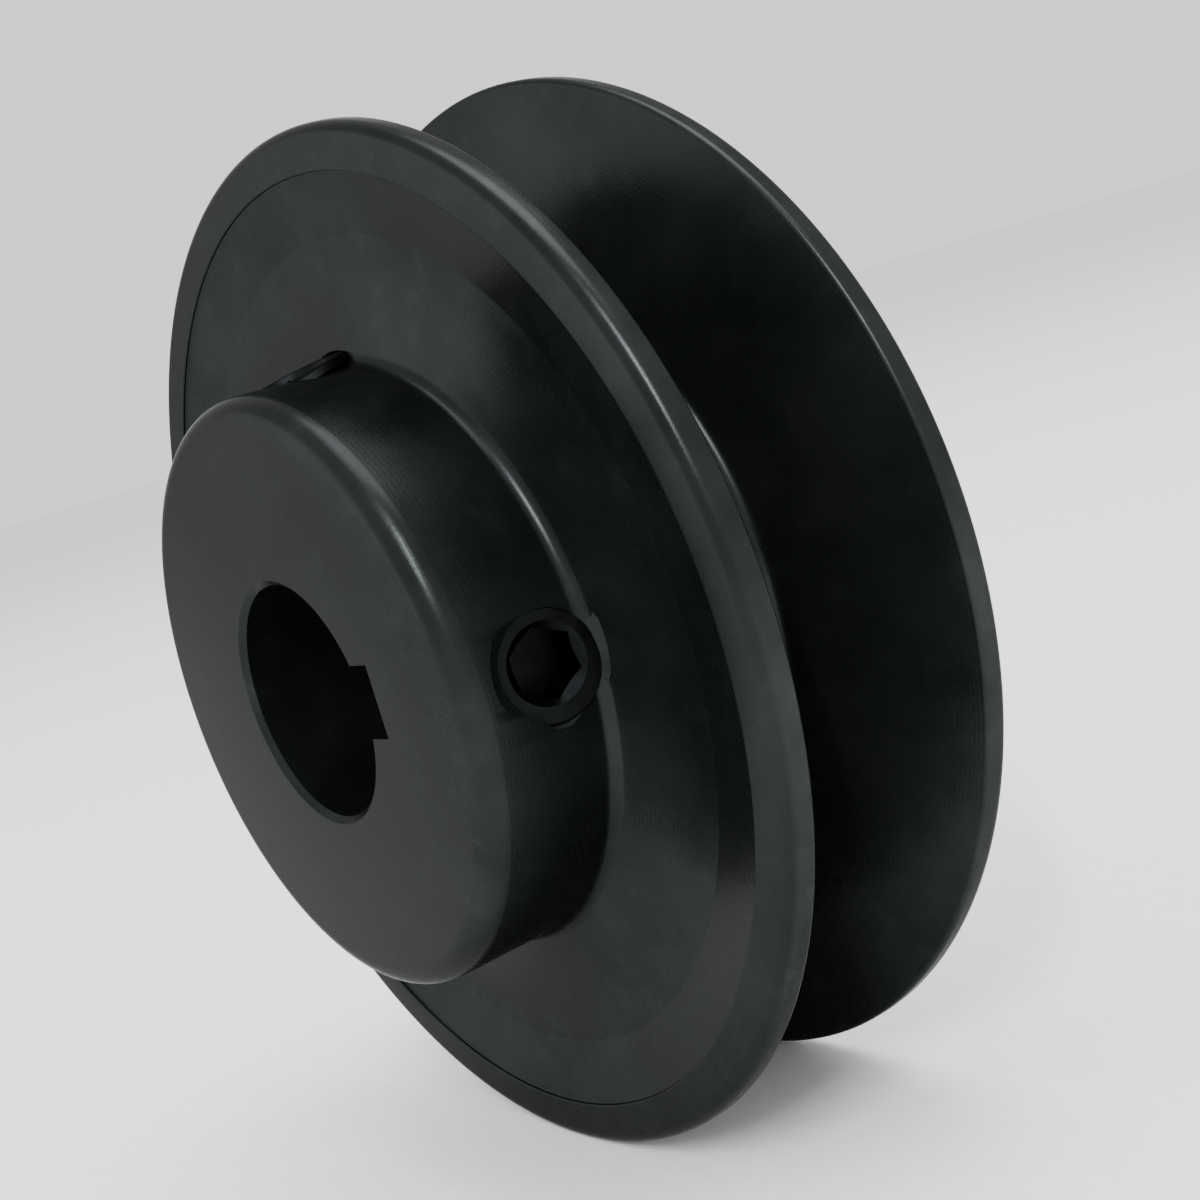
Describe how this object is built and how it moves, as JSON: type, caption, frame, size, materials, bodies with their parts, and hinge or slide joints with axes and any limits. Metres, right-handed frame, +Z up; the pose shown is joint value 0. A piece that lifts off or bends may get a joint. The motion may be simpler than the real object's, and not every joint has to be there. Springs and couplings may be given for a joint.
{
  "type": "v belt pulley",
  "caption": "Single-groove V-belt pulley with an offset hub, keyed bore, recessed flanges and two leaning socket set screws.",
  "frame": {"origin": "on the bore's axis, in the middle plane of the belt groove", "axes": "+Y along the bore towards the rear face, so the hub points to -Y; +X towards the keyway and the set screw over it; +Z up, towards the second set screw"},
  "size_m": [0.0712, 0.0272, 0.071],
  "materials": {
    "black_oxide_iron": "satin black oxide over turned iron",
    "black_oxide_screw": "satin black oxide alloy steel"
  },
  "bodies": {
    "pulley": {"pulley_body": "black_oxide_iron"},
    "keyway_screw": {"keyway_set_screw": "black_oxide_screw"},
    "side_screw": {"side_set_screw": "black_oxide_screw"}
  },
  "joints": [
    {"name": "keyway_screw_travel", "type": "slide", "parent": "pulley", "child": "keyway_screw", "axis": [0.9781, -0.2079, 0], "range_m": [-0.00141, 0.00847]},
    {"name": "side_screw_travel", "type": "slide", "parent": "pulley", "child": "side_screw", "axis": [0, -0.2079, 0.9781], "range_m": [-0.00423, 0.00847]}
  ]
}
